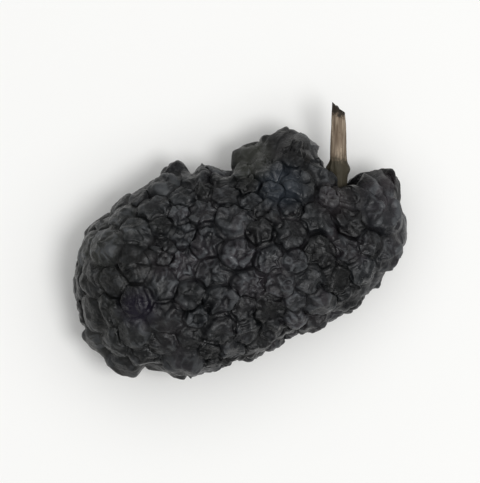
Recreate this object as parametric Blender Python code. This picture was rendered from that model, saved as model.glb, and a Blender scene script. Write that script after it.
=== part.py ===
"""A dried black mulberry, lying as it fell: one fruit covered in shrunken drupelets, and its dry stalk.

The fruit is an egg of many small drupelets that grew together, so it is one solid. Its fat blossom end points
to -X and its narrow end to +X, and the stalk leaves a dimple on the +Y side, between two raised shoulders.
Each drupelet is a bead over one cell of a net that covers the egg, and the creases between the beads are the
lines of that net. The stalk is a solid of its own, rooted in a socket in the fruit. The fruit lies on the
drupelets that were pressed flat under it. Lengths are in metres, +Z is up, and z = 0 is what it lies on.
"""

import math

import bmesh
import bpy
import numpy as np

MM = 0.001

# The egg that the creases lie on. Its own frame has its axis along x, from the blossom end to the narrow end.
HALF_LENGTH = 9.30 * MM
HALF_WIDTH = 4.94 * MM
HALF_HEIGHT = 4.58 * MM
TAPER = 0.26  # how much thinner it grows from its middle to its narrow end, as a share
BLUNTNESS = 2.25  # 2 gives round ends, and more gives blunter ones
AXIS_TURN = math.radians(14)  # from the part's +X towards its +Y
CENTRE = np.array((0.11, -1.25, 3.77)) * MM

# The underside settled flat as the fruit dried.
FLAT_DEPTH = 2.9 * MM  # below the axis, where the flattening starts
FLAT_BLEND = 0.35 * MM
FLAT_SHARE = 0.88  # of the depth below that level that is lost

# Humps and hollows of the egg: place in its own frame, height and spread, all in millimetres.
LUMPS = (
    ((4.1, 4.2, 0.3), 2.25, 1.45),  # shoulder on the blossom side of the stalk
    ((2.5, 4.5, 0.2), 1.15, 1.4),  # its slope
    ((0.9, 4.7, 0.1), 0.35, 1.2),  # and its foot
    ((8.6, 2.4, 0.5), 1.7, 1.4),  # shoulder on the other side
    ((6.8, 3.4, 0.2), -0.9, 1.3),  # dimple round the stalk
    ((1.9, -4.8, 0.6), -0.5, 2.2),  # waist
    ((-8.0, -4.2, -0.2), 0.5, 1.9),  # heel of the blossom end
    ((-8.7, -1.9, -0.2), 0.35, 1.3),  # rise above the heel
    ((-2.0, 4.9, 0.0), 0.65, 1.9),  # rise on the stalk's side
    ((-2.6, 0.9, 4.6), -0.8, 2.2),  # sunken top
    ((2.6, -1.3, 3.9), 0.6, 1.8),  # ridge across the top
    ((-6.6, 2.4, 3.2), 0.5, 1.5),  # rise near the blossom end
    ((-3.4, -3.6, 2.8), 0.35, 1.6),  # rise on the side away from the stalk
    ((6.4, 0.4, 3.2), -0.4, 1.5),  # hollow near the narrow end
)

# The drupelets.
DRUPELETS = 196
SEED = 22
SIZE_SPREAD = 0.17  # standard deviation of a drupelet's width, as a share of the mean
SIZE_LIMITS = (0.66, 1.30)
END_GROWTH = 0.12  # how much larger the drupelets at the blossom end are, as a share
END_ZONE = 0.25  # share of the drupelets that this reaches
BEAD_HEIGHT = 0.72 * MM
HEIGHT_SPREAD = 0.13
HEIGHT_LIMITS = (0.62, 1.22)
SPLAY = 0.8  # pull of the smooth egg's normal on the way a drupelet stands, which opens the hollows
LEAN = 0.25  # largest sideways lean of a drupelet's top, as a share of its height
STALK_LEAN_BACK = 0.30  # lean of the drupelets round the stalk, away from it
STALK_SHRINK = 0.20  # how much lower they are, as a share
DIMPLE = 0.55  # deepest sinking of a drupelet's top, as a share of its height
DIMPLE_POWER = 1.3  # more leaves fewer drupelets deeply sunk
FOLD = 0.34  # deepest fold across a drupelet, as a share of its height
PIT_DEPTH = 0.16 * MM  # of the pits where three drupelets meet, below the creases
ROUNDNESS = 1.06  # how far a bead reaches into its cell's corners, beside its mean reach
WALL = 0.96  # the bead's widest place, as a share of the way to the crease
SQUEEZE = 1.6  # how strongly a bead draws back from a neighbour that leans over it in a hollow
SQUEEZE_SLOPE = -0.06  # steepest slope up to the crease at which it needn't
SQUEEZE_LIMIT = 0.4  # slope beyond that one, past which it draws back no further

# The rings of a bead: share of the way out, and share of its height.
OUTER_RING = (0.94, 0.52)
INNER_RING = (0.60, 0.90)

# Packing of the drupelets over the egg.
GOLDEN_ANGLE = math.pi * (3 - math.sqrt(5))
SPACING = 1.93 * MM  # middle to middle, below which two drupelets push each other away
PUSH = 0.30
PACKING_STEPS = 150
PROFILE_STEPS = 400
NORMAL_STEP = 0.02
NEAR_AXIS = 0.8  # share of a direction along x, past which its sides are found from y

# The stalk. It stands in a socket, and all but its root shows.
STALK_PLACE = np.array((7.17, 3.12, 0.35)) * MM  # in the egg's own frame
STALK_LEAN = (0.0, 1.0, 0.18)
STALK_CELL = 0.95  # width of the socket's cell in the net, beside a drupelet's 1
STALK_RADIUS = 0.47 * MM
STALK_ROOT = 1.1 * MM  # below the socket's mouth
STALK_REACH = 5.6 * MM  # beyond it
STALK_BOW = 0.45 * MM  # upwards, at its end
STALK_SWELL = 0.22  # thickening towards the fruit, as a share
STALK_TIP = 0.80  # thickness just before the broken end, as a share
STALK_BREAK = 0.65 * MM  # slant of the broken end
BREAK_POWER = 12  # more keeps the slant closer to the end
STALK_SIDES = 10
STALK_SECTIONS = 14
SOCKET_GAP = 0.12 * MM
SOCKET_SPARE = 0.15 * MM  # depth of the socket below the root

# Colours are red, green, blue and alpha.
FRUIT_COLOUR = (0.022, 0.020, 0.026, 1.0)
FRUIT_ROUGHNESS = 0.55
STALK_COLOUR = (0.28, 0.21, 0.14, 1.0)
STALK_ROUGHNESS = 0.8
SHARP_ANGLE = math.radians(50)  # edges sharper than this stay sharp


def clear_scene():
    for obj in list(bpy.data.objects):
        bpy.data.objects.remove(obj)


def unit(vectors):
    vectors = np.asarray(vectors, float)
    return vectors / np.linalg.norm(vectors, axis=-1, keepdims=True)


def egg(directions):
    """Points of the smooth egg, one for each direction from its centre."""
    along = np.abs(directions[:, 0])
    around = np.hypot(directions[:, 1], directions[:, 2])
    shape = directions / ((along**BLUNTNESS + around**BLUNTNESS) ** (1 / BLUNTNESS))[:, None]
    width = 1 - TAPER * shape[:, 0]
    return np.column_stack(
        (HALF_LENGTH * shape[:, 0], HALF_WIDTH * width * shape[:, 1], HALF_HEIGHT * width * shape[:, 2])
    )


def directions_of(points):
    """The directions in which the egg passes through, or close to, points near its surface."""
    x = np.clip(points[:, 0] / HALF_LENGTH, -1, 1)
    width = 1 - TAPER * x
    return unit(np.column_stack((x, points[:, 1] / (HALF_WIDTH * width), points[:, 2] / (HALF_HEIGHT * width))))


def normals(surface, directions):
    """Outward unit normals of a surface, from its points a small step to each side."""
    near_axis = np.abs(directions[:, :1]) > NEAR_AXIS
    helper = np.where(near_axis, (0.0, 1.0, 0.0), (1.0, 0.0, 0.0))
    first = unit(np.cross(directions, helper))
    second = np.cross(directions, first)
    slopes = [
        surface(unit(directions + NORMAL_STEP * side)) - surface(unit(directions - NORMAL_STEP * side))
        for side in (first, second)
    ]
    return unit(np.cross(*slopes))


def crease_surface(directions):
    """The surface that the creases lie on: the egg with its lumps and its settled underside."""
    points = egg(directions)
    raised = np.zeros(len(points))
    for place, height, spread in LUMPS:
        away = np.linalg.norm(points / MM - place, axis=1)
        raised += height * MM * np.exp(-((away / spread) ** 2))
    points = points + raised[:, None] * normals(egg, directions)
    points[:, 2] += FLAT_SHARE * FLAT_BLEND * np.logaddexp(0, (-points[:, 2] - FLAT_DEPTH) / FLAT_BLEND)
    return points


def in_part(points):
    """Points of the egg's own frame in the part's frame, none below what the fruit lies on."""
    across = np.array((math.cos(AXIS_TURN), math.sin(AXIS_TURN), 0))
    turn = np.array((across, (-across[1], across[0], 0), (0, 0, 1)))
    placed = np.asarray(points) @ turn + CENTRE
    placed[..., 2] = np.maximum(placed[..., 2], 0)
    return placed


def spiral_directions(count):
    """Directions along a spiral from the blossom end to the narrow end, each with as much of the egg round it."""
    tilt = np.linspace(math.pi, 0, PROFILE_STEPS)
    profile = egg(np.column_stack((np.cos(tilt), np.sin(tilt), np.zeros(PROFILE_STEPS))))
    lengths = np.hypot(np.diff(profile[:, 0]), np.diff(profile[:, 1]))
    area = np.append(0, np.cumsum(lengths * (profile[1:, 1] + profile[:-1, 1])))
    turns = np.arange(count)
    tilts = np.interp((turns + 0.5) / count, area / area[-1], tilt)
    around = turns * GOLDEN_ANGLE
    return np.column_stack((np.cos(tilts), np.sin(tilts) * np.cos(around), np.sin(tilts) * np.sin(around)))


def packed_directions(sizes):
    """Directions of the drupelets' middles: a spiral over the egg, pushed apart until each has room for its size.
    The last one is the stalk's, which keeps its place."""
    spiral = spiral_directions(len(sizes) - 1)
    stalk = directions_of(STALK_PLACE[None])
    directions = np.vstack((spiral, stalk))
    room = SPACING * (sizes[:, None] + sizes) / 2
    np.fill_diagonal(room, 0)
    for _ in range(PACKING_STEPS):
        points = crease_surface(directions)
        apart = points[:, None] - points
        distance = np.linalg.norm(apart, axis=2) + np.eye(len(points))
        push = np.clip(room - distance, 0, None) / distance
        step = PUSH * (push[:, :, None] * apart).sum(axis=1)
        directions = directions_of(egg(directions) + step)
        directions[-1] = stalk
    return directions


def net_triangles(on_egg, on_creases):
    """Even triangles between the drupelets' middles, each as three indices, facing out. The egg is convex, so its
    hull joins the middles, and then edges are turned to suit where the middles are on the crease surface."""
    mesh = bmesh.new()
    for point in on_egg:
        mesh.verts.new(point / MM)
    mesh.verts.index_update()
    bmesh.ops.convex_hull(mesh, input=mesh.verts)
    for vertex, point in zip(mesh.verts, on_creases):
        vertex.co = point / MM
    bmesh.ops.beautify_fill(mesh, faces=mesh.faces, edges=mesh.edges, method="ANGLE")
    bmesh.ops.recalc_face_normals(mesh, faces=mesh.faces)
    triangles = [tuple(vertex.index for vertex in face.verts) for face in mesh.faces]
    mesh.free()
    return triangles


def rounds(triangles, count):
    """For each drupelet, its neighbours in order round it, each with the triangle that follows it."""
    following = [{} for _ in range(count)]
    for number, (a, b, c) in enumerate(triangles):
        following[a][b] = (c, number)
        following[b][c] = (a, number)
        following[c][a] = (b, number)
    orders = []
    for step in following:
        neighbour = min(step)
        order = []
        for _ in step:
            order.append((neighbour, step[neighbour][1]))
            neighbour = step[neighbour][0]
        orders.append(order)
    return orders


class Net:
    """The drupelets' places, sizes and leanings, and the net of creases between them, in the egg's own frame."""

    def __init__(self):
        chance = np.random.RandomState(SEED)
        sizes = np.clip(chance.normal(1, SIZE_SPREAD, DRUPELETS), *SIZE_LIMITS)
        heights = np.clip(chance.normal(1, HEIGHT_SPREAD, DRUPELETS), *HEIGHT_LIMITS)
        self.leans = chance.uniform(-LEAN, LEAN, (DRUPELETS, 3))
        self.dimples = DIMPLE * chance.uniform(0, 1, DRUPELETS) ** DIMPLE_POWER
        self.folds = FOLD * chance.uniform(0, 1, DRUPELETS)
        self.fold_ways = unit(chance.normal(0, 1, (DRUPELETS, 3)))
        from_end = np.arange(DRUPELETS) / (END_ZONE * DRUPELETS)
        sizes *= 1 + END_GROWTH * np.clip(1 - from_end, 0, 1)
        self.heights = BEAD_HEIGHT * heights * np.sqrt(sizes)
        self.sizes = np.append(sizes, STALK_CELL)
        directions = packed_directions(self.sizes)
        self.eggs = egg(directions)
        self.middles = crease_surface(directions)
        self.ups = unit(normals(crease_surface, directions) + SPLAY * normals(egg, directions))
        unpressed = 1 - np.clip(-self.ups[:DRUPELETS, 2], 0, 1)
        self.dimples *= unpressed
        self.folds *= unpressed
        self.triangles = net_triangles(self.eggs, self.middles)
        self.rounds = rounds(self.triangles, len(self.sizes))
        beside_stalk = [cell for cell, _ in self.rounds[-1]]
        self.heights[beside_stalk] *= 1 - STALK_SHRINK
        self.leans[beside_stalk] = STALK_LEAN_BACK * unit(self.middles[beside_stalk] - self.middles[-1])

    def between(self, members, depth=0.0):
        """The point of the crease surface between some drupelets, nearest to the smallest of them."""
        members = list(members)
        middle = np.average(self.eggs[members], axis=0, weights=1 / self.sizes[members])
        direction = directions_of(middle[None])
        return (crease_surface(direction) - depth * normals(crease_surface, direction))[0]


def bead_frame(net, cell, border):
    """For each border point of a cell: the way to it across the bead, how far the bead goes, and how far the
    surface under the bead has bent away there."""
    up = net.ups[cell]
    away = border - net.middles[cell]
    rise = away @ up
    across = away - rise[:, None] * up
    far = np.linalg.norm(across, axis=1)
    room = 1 - SQUEEZE * np.clip(rise / far - SQUEEZE_SLOPE, 0, SQUEEZE_LIMIT)
    reach = np.minimum(WALL * far * room, ROUNDNESS * far.mean())
    return across / far[:, None], reach, rise * (reach / far) ** 2


def raised(net, cell, points, high):
    """Points lifted off the bead's foot by shares of the bead's height, and leaning as it leans."""
    lift = np.asarray(high)[..., None] * net.heights[cell]
    return points + lift * net.ups[cell] + lift * np.asarray(high)[..., None] * net.leans[cell]


def bead_ring(net, cell, border, ring):
    """Points of one ring of a bead, one towards each border point. The fold sinks those that lie along it."""
    out, high = ring
    way, reach, bend = bead_frame(net, cell, border)
    foot = net.middles[cell] + out * reach[:, None] * way + (out**2 * bend)[:, None] * net.ups[cell]
    fold = unit(np.cross(net.ups[cell], net.fold_ways[cell]))
    sunk = net.folds[cell] * (1 - np.abs(way @ fold)) ** 2
    return raised(net, cell, foot, high * (1 - sunk))


def bead_top(net, cell):
    return raised(net, cell, net.middles[cell], 1 - net.dimples[cell] - net.folds[cell] / 2)


def add_points(mesh, points):
    return [mesh.verts.new(point) for point in points]


def add_band(mesh, outer, inner):
    """Triangles between two closed rings of as many points each."""
    for k in range(len(outer)):
        following = (k + 1) % len(outer)
        mesh.faces.new((outer[k], outer[following], inner[following]))
        mesh.faces.new((outer[k], inner[following], inner[k]))


def add_halving_band(mesh, outer, inner):
    """Triangles between a closed ring and one with half as many points, one at each even point of the first."""
    for k in range(len(inner)):
        following = (k + 1) % len(inner)
        before = outer[2 * k - 1]
        after = outer[2 * k + 1]
        mesh.faces.new((before, outer[2 * k], inner[k]))
        mesh.faces.new((outer[2 * k], after, inner[k]))
        mesh.faces.new((after, inner[following], inner[k]))


def add_fan(mesh, ring, tip):
    for k in range(len(ring)):
        mesh.faces.new((ring[k], ring[(k + 1) % len(ring)], tip))


def add_bead(mesh, net, cell, border, border_vertices):
    outer = add_points(mesh, in_part(bead_ring(net, cell, border, OUTER_RING)))
    inner = add_points(mesh, in_part(bead_ring(net, cell, border, INNER_RING)[::2]))
    add_band(mesh, border_vertices, outer)
    add_halving_band(mesh, outer, inner)
    add_fan(mesh, inner, mesh.verts.new(in_part(bead_top(net, cell))))


def circle(centre, axis, towards, radius):
    """Points round a centre, each on the side of one of the points that it goes towards."""
    across = towards - centre
    across = across - (across @ axis)[:, None] * axis
    return centre + radius * unit(across)


def add_socket(mesh, net, border, border_vertices):
    """The blind hole that the stalk is rooted in."""
    mouth = in_part(net.middles[-1])
    axis = unit(STALK_LEAN)
    radius = socket_radius()
    floor = mouth - (STALK_ROOT + SOCKET_SPARE) * axis
    rim = add_points(mesh, circle(mouth, axis, in_part(border), radius))
    bottom = add_points(mesh, circle(floor, axis, in_part(border), radius))
    add_band(mesh, border_vertices, rim)
    add_band(mesh, rim, bottom)
    add_fan(mesh, bottom, mesh.verts.new(floor))


def socket_radius():
    return STALK_RADIUS * (1 + STALK_SWELL) + SOCKET_GAP


def add_object(name, mesh, colour, roughness):
    data = bpy.data.meshes.new(name)
    mesh.to_mesh(data)
    mesh.free()
    data.shade_smooth()
    data.set_sharp_from_angle(angle=SHARP_ANGLE)
    material = bpy.data.materials.new(name)
    material.use_nodes = True
    shader = material.node_tree.nodes["Principled BSDF"]
    shader.inputs["Base Color"].default_value = colour
    shader.inputs["Roughness"].default_value = roughness
    shader.inputs["Metallic"].default_value = 0.0
    data.materials.append(material)
    obj = bpy.data.objects.new(name, data)
    bpy.context.scene.collection.objects.link(obj)


def make_fruit(net):
    mesh = bmesh.new()
    points = {}

    def crease_point(members, depth=0.0):
        key = frozenset(members)
        if key not in points:
            position = net.between(members, depth)
            points[key] = (position, mesh.verts.new(in_part(position)))
        return points[key]

    for cell, order in enumerate(net.rounds):
        border = []
        for neighbour, triangle in order:
            border.append(crease_point((cell, neighbour)))
            border.append(crease_point(net.triangles[triangle], PIT_DEPTH))
        positions = np.array([position for position, _ in border])
        vertices = [vertex for _, vertex in border]
        if cell < DRUPELETS:
            add_bead(mesh, net, cell, positions, vertices)
        else:
            add_socket(mesh, net, positions, vertices)
    add_object("fruit", mesh, FRUIT_COLOUR, FRUIT_ROUGHNESS)


def stalk_radius(share):
    """Thickness along the stalk, from its root at 0 to its broken end at 1."""
    swell = STALK_SWELL * (1 - share) ** 2
    return STALK_RADIUS * (1 + swell - (1 - STALK_TIP) * share**4)


def make_stalk(net):
    """A slightly bowed stem, whose tip broke off on a slant."""
    mouth = in_part(net.middles[-1])
    axis = unit(STALK_LEAN)
    side = unit(np.cross(axis, (0, 0, 1)))
    top = np.cross(side, axis)
    mesh = bmesh.new()
    rings = []
    for share in np.linspace(0, 1, STALK_SECTIONS):
        along = share * (STALK_ROOT + STALK_REACH) - STALK_ROOT
        bow = STALK_BOW * max(along / STALK_REACH, 0) ** 2 * top
        ring = []
        for turn in np.arange(STALK_SIDES) * 2 * math.pi / STALK_SIDES:
            radius = stalk_radius(share)
            slant = STALK_BREAK * share**BREAK_POWER * (1 + math.cos(turn)) / 2
            point = mouth + (along - slant) * axis + radius * math.cos(turn) * side
            ring.append(point + radius * math.sin(turn) * top + bow)
        rings.append(add_points(mesh, ring))
    for lower, upper in zip(rings, rings[1:]):
        add_band(mesh, lower, upper)
    mesh.faces.new(rings[-1])
    mesh.faces.new(rings[0])
    bmesh.ops.triangulate(mesh, faces=mesh.faces)
    bmesh.ops.recalc_face_normals(mesh, faces=mesh.faces)
    add_object("stalk", mesh, STALK_COLOUR, STALK_ROUGHNESS)


def main():
    clear_scene()
    net = Net()
    make_fruit(net)
    make_stalk(net)


main()
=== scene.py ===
"""A dried black mulberry and its stalk, as the photograph shows them from above.

The net of drupelets is the one that the part's source makes, with the same numbers and the same seed. Here
each drupelet is a finer bead over its cell, shrunken in its own way: dimpled, folded, keeled, or sunken
inside a rim, with ridges, wrinkles, seams and a small nub. The creases are filled by the drupelets' feet,
some drupelets have run together, and the outline is notched in a few places. The stalk gets its fibres,
the withered collar at its foot and its splintered tip. Lengths are in metres.
"""

import math

import bmesh
import bpy
import numpy as np
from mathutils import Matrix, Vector, noise

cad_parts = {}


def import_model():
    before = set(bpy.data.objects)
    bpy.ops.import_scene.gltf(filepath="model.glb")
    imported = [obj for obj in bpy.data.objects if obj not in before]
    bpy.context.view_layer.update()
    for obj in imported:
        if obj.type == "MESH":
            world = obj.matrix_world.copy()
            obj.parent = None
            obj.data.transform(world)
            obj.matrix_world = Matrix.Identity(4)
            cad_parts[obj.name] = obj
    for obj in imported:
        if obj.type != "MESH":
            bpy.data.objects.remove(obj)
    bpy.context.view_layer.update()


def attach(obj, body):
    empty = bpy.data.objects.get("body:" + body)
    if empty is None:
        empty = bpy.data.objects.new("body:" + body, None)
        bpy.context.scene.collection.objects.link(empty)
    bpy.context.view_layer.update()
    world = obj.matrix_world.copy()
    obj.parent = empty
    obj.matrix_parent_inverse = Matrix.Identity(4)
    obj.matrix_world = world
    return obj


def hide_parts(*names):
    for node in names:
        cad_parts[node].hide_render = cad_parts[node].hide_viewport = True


MM = 0.001

# The egg that the creases lie on, as in the part's source.
HALF_LENGTH = 9.30 * MM
HALF_WIDTH = 4.94 * MM
HALF_HEIGHT = 4.58 * MM
TAPER = 0.26
BLUNTNESS = 2.25
AXIS_TURN = math.radians(14)
CENTRE = np.array((0.11, -1.25, 3.77)) * MM
FLAT_DEPTH = 2.9 * MM
FLAT_BLEND = 0.35 * MM
FLAT_SHARE = 0.88

# Its humps and hollows: place in its own frame, height and spread, all in millimetres.
LUMPS = (
    ((4.1, 4.2, 0.3), 2.25, 1.45),
    ((2.5, 4.5, 0.2), 1.15, 1.4),
    ((0.9, 4.7, 0.1), 0.35, 1.2),
    ((8.6, 2.4, 0.5), 1.7, 1.4),
    ((6.8, 3.4, 0.2), -0.9, 1.3),
    ((1.9, -4.8, 0.6), -0.5, 2.2),
    ((-8.0, -4.2, -0.2), 0.5, 1.9),
    ((-8.7, -1.9, -0.2), 0.35, 1.3),
    ((-2.0, 4.9, 0.0), 0.65, 1.9),
    ((-2.6, 0.9, 4.6), -0.8, 2.2),
    ((2.6, -1.3, 3.9), 0.6, 1.8),
    ((-6.6, 2.4, 3.2), 0.5, 1.5),
    ((-3.4, -3.6, 2.8), 0.35, 1.6),
    ((6.4, 0.4, 3.2), -0.4, 1.5),
)

# The net of drupelets, as in the part's source.
DRUPELETS = 196
SEED = 22
SIZE_SPREAD = 0.17
SIZE_LIMITS = (0.66, 1.30)
END_GROWTH = 0.12
END_ZONE = 0.25
BEAD_HEIGHT = 0.72 * MM
HEIGHT_SPREAD = 0.13
HEIGHT_LIMITS = (0.62, 1.22)
SPLAY = 0.8
LEAN = 0.25
STALK_LEAN_BACK = 0.30
STALK_SHRINK = 0.20
DIMPLE = 0.55
DIMPLE_POWER = 1.3
FOLD = 0.34
PIT_DEPTH = 0.16 * MM
ROUNDNESS = 1.06
WALL = 0.96
SQUEEZE = 1.6
SQUEEZE_SLOPE = -0.06
SQUEEZE_LIMIT = 0.4
GOLDEN_ANGLE = math.pi * (3 - math.sqrt(5))
SPACING = 1.93 * MM
PUSH = 0.30
PACKING_STEPS = 150
PROFILE_STEPS = 400
NORMAL_STEP = 0.02
NEAR_AXIS = 0.8

# How finely a bead is drawn, and its outlines from above and from the side.
EDGE_STEPS = 4  # points along each half side of a cell
RING_STEPS = 8 * (1,) + 2 * (2,) + (4,)  # for each ring, how many border points share one of its points
RING_ANGLES = np.radians(np.linspace(3, 85, len(RING_STEPS)))  # from the crease to near the top
SIDE_POWER = 2 / 3.6  # with TOP_POWER, how square a bead is from the side
TOP_POWER = 2 / 2.7
ROUND_OFF = 8  # less rounds a bead's corners more
CORNER_POWER = 3  # more keeps the corners closer to the bead's foot
OUTLINE_WOBBLE = 0.05  # as a share of a bead's reach
OUTLINE_TURNS = 2  # noise units of radius
SHARP_ANGLE = math.radians(75)  # edges sharper than this stay sharp

# The creases as they are seen, filled by the drupelets' feet. Scales are features per millimetre.
CREASE_RISES = (0.54 * MM, 0.38 * MM)  # most and least that the feet lie above the solid's creases
RISE_NOISE = (-0.35, 0.25)  # values of the noise that give the most, and the least
RISE_SCALE = 0.55
RISE_LIMIT = 0.72  # the most of it, as a share of the lowest drupelet beside it
JOIN_LIMIT = 0.92  # the same where two drupelets have run together
GROOVE = 0.07 * MM  # how far the creases lie below the feet
CREASE_WOBBLE = 0.10 * MM
WOBBLE_SCALE = 1.3
# With their low height share, the creases' forms give them painted shade in the materials.
CREASE_HOLLOW = 0.7  # what the materials get for the creases
CREASE_SHADE = 0.5

# The blossom end, where drupelets have keels along the fruit, and elsewhere.
END_PLACES = (-7.0 * MM, -1.5 * MM)  # where a drupelet wholly belongs to that end, and no longer does
JOIN_SLANTS = (0.70, 0.85)  # cosines of a pair's slant at which it begins to run together, and wholly does
JOIN_EVERY = 2  # one in so many of those pairs does
PART_JOIN = 0.7  # how far pairs elsewhere run together
PART_JOIN_EVERY = 6
END_KEEL = 0.32  # added to the keels at that end
END_RELIEF = 0.50  # share of the relief that drupelets have there

# How a bead has shrunk. Depths are shares of its height, and widths and places are shares of its reach.
FOLD_WIDTH = 0.20
DIMPLE_WIDTH = 0.45
KEEL = 0.42  # how far its flanks sank beside its keel
KEEL_WIDTH = 0.26
KEEL_BEND = 0.5
SINK = 0.60  # how far its middle sank inside its rim
SINK_WIDTH = 0.34
SINK_POWER = 4  # more makes the edge of the sunken middle steeper
SINK_ASIDE = 0.25  # how far from the bead's middle it can be
RIM_PLACE = 1.45  # how far out the rim is, beside SINK_WIDTH
RIM_WIDTH = 0.15
SHRINKING = (-0.5, 1.0)  # range of the draws for keels and sunken middles, which are left out below nought
MOST_SUNK = 0.85
SIDE_RELIEF = 0.32  # share of keels, sunken middles and relief that drupelets facing sideways have

# The relief on a bead. Ridges lie where a noise crosses nought, and their widths are values of that noise.
# Other widths and places are shares of the bead's reach.
DETAIL_SEED = 41
NOISE_REACH = 90  # how far off a bead's own place in the noise can be
LUMP_HEIGHT = 0.16 * MM
LUMP_SCALE = 1.15  # features per millimetre
WRINKLE_HEIGHT = 0.08 * MM  # of the ridges that run down a bead from its top
WRINKLE_SHARES = (0.45, 1.2)  # least and most of that height
WRINKLE_WIDTH = 0.17
WRINKLE_TURNS = (1.1, 1.9)  # fewest and most of them, in noise units of radius
WRINKLE_SLANT = 1.1  # noise units from a bead's top to its foot
WRINKLE_LEVEL = 0.35  # share of their height that lies below the plain form
TOP_WRINKLE = 0.35  # how much of them is left at the top
TOP_ZONE = 0.6  # how far out they have their whole height
NET_HEIGHT = 0.32 * MM  # of the ridges that wind from bead to bead
NET_WIDTH = 0.20
NET_SCALE = 0.80  # features per millimetre
NET_LEVEL = 0.45
NET_SHARE = 0.6  # how much they take from the hollow
SEAMS = 4
SEAM_SCATTER = 0.22  # of their directions, in radians
SEAM_DEPTH = 0.07 * MM
SEAM_WIDTH = 0.07
SEAM_STARTS = (0.02, 0.25)  # how far out a seam begins, and has its whole depth
SEAM_TURN = 0.3  # cosine of the turn away from a seam at which it has its whole depth
LIP_PLACE = 0.13  # of the low lip beside a seam
LIP_SHARE = 0.35  # its height, beside the seam's depth
NUB_HEIGHT = 0.13 * MM
NUB_WIDTH = 0.10
NUB_POWER = 2  # more leaves fewer beads with a high nub
FADE_START = 0.86  # how far out the relief begins to fade

# Notches and swellings of the outline between single drupelets, as seen from above: place in the part's
# frame, height and spread, all in millimetres.
NOTCHES = (
    ((-5.1, -8.1), -0.70, 0.75),
    ((-2.9, -8.0), 0.20, 0.6),
    ((-3.7, -8.4), -0.15, 0.4),
    ((-8.6, -6.5), -0.30, 0.9),
    ((-8.0, 1.9), -0.30, 1.0),
    ((-3.0, 4.5), -0.40, 0.5),
    ((-0.9, 4.6), -0.70, 0.6),
    ((2.0, 6.9), -0.30, 0.8),
)

# The stalk, as in the part's source.
STALK_PLACE = np.array((7.17, 3.12, 0.35)) * MM
STALK_LEAN = (0.0, 1.0, 0.18)
STALK_CELL = 0.95
STALK_RADIUS = 0.47 * MM
STALK_ROOT = 1.1 * MM
STALK_REACH = 5.6 * MM
STALK_BOW = 0.45 * MM
STALK_SWELL = 0.22
STALK_TIP = 0.80
STALK_BREAK = 0.65 * MM
BREAK_POWER = 12
SOCKET_GAP = 0.12 * MM
SOCKET_SPARE = 0.15 * MM

# What only the fine stalk has. Heights and depths are shares of its radius, and turns are noise units of
# radius.
STALK_SIDES = 48
STALK_SECTIONS = 90
FIBRE_HEIGHT = 0.03  # how far the fibres stand out beyond the solid
FIBRE_DEPTH = 0.10  # of the grooves between them
FIBRE_WIDTH = 0.2
FIBRE_TURNS = 2.6
FIBRE_SCALE = 0.35  # features per millimetre along the stalk
FIBRE_NOISE = 7.0  # where in the noise the fibres are
COLLAR = 0.22  # how far the withered collar at the stalk's foot stands out
COLLAR_PLACE = 0.40  # share of the way along the stalk
COLLAR_WIDTH = 0.05
COLLAR_SPREAD = 1.5  # how uneven it is
COLLAR_SCALE = 1.3  # of its noise, beside the fibres'
COLLAR_NOISE = -5.0
SPLINTERS = 0.30 * MM  # how uneven the broken tip is
SPLINTER_TURNS = 1.9
SPLINTER_NOISE = 3.0

# Noise in the materials: features per metre, detail, roughness and, where it isn't even, its stretch.
BROAD_NOISE = (380, 2.0, 0.5)
PATCH_NOISE = (900, 4.0, 0.65)
FINE_NOISE = (5200, 5.0, 0.65)
GRAIN_NOISE = (2600, 3.0, 0.6)
STREAK_NOISE = (2400, 3.0, 0.6, (1.0, 0.12, 1.0))
SPECK_NOISE = (5200, 3.0, 0.7)
FLOOR_NOISE = (18, 2.0, 0.5)

# Colours, as red, green, blue and alpha.
SKIN_COLOUR = (0.0095, 0.0108, 0.0124, 1.0)
# Pale dusty bloom mixed with painted highlight, laid on the skin's crests and tops.
DUST_AND_HIGHLIGHT_COLOUR = (0.0500, 0.0540, 0.0580, 1.0)
STALK_COLOUR = (0.17, 0.125, 0.085, 1.0)
GROOVE_COLOUR = (0.085, 0.055, 0.034, 1.0)
FLOOR_COLOUR = (0.90, 0.90, 0.885, 1.0)
SKY_COLOUR = (1.0, 1.0, 1.0, 1.0)

# Layers of other colours: the values at which one starts and is full, how much it then covers, its colour.
PURPLE_SKIN = (0.35, 0.68, 1.0, (0.0130, 0.0112, 0.0130, 1.0))
OLIVE_END = (-3 * MM, -9 * MM, 0.7, (0.0150, 0.0162, 0.0134, 1.0))
# Painted shade: the skin is darker in its valleys.
VALLEY_PAINTED_SHADE = (0.55, 1.0, 0.6, (0.0080, 0.0085, 0.0095, 1.0))
# Painted highlight: the skin is paler on its crests.
CREST_PAINTED_HIGHLIGHT = (0.38, 0.0, 0.7, (0.0400, 0.0425, 0.0455, 1.0))
# Painted shade: the skin is darker down towards the creases between drupelets.
CREASE_PAINTED_SHADE = (0.45, 0.0, 0.35, (0.0090, 0.0085, 0.0090, 1.0))
PALE_STREAKS = (0.35, 0.65, 1.0, (0.34, 0.275, 0.205, 1.0))
BROWN_SPECKS = (0.60, 0.74, 1.0, (0.10, 0.065, 0.038, 1.0))
DARK_FOOT = (0.56, 0.45, 1.0, (0.040, 0.034, 0.021, 1.0))
DARK_TIP = (0.86, 0.93, 1.0, (0.024, 0.018, 0.012, 1.0))

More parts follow.
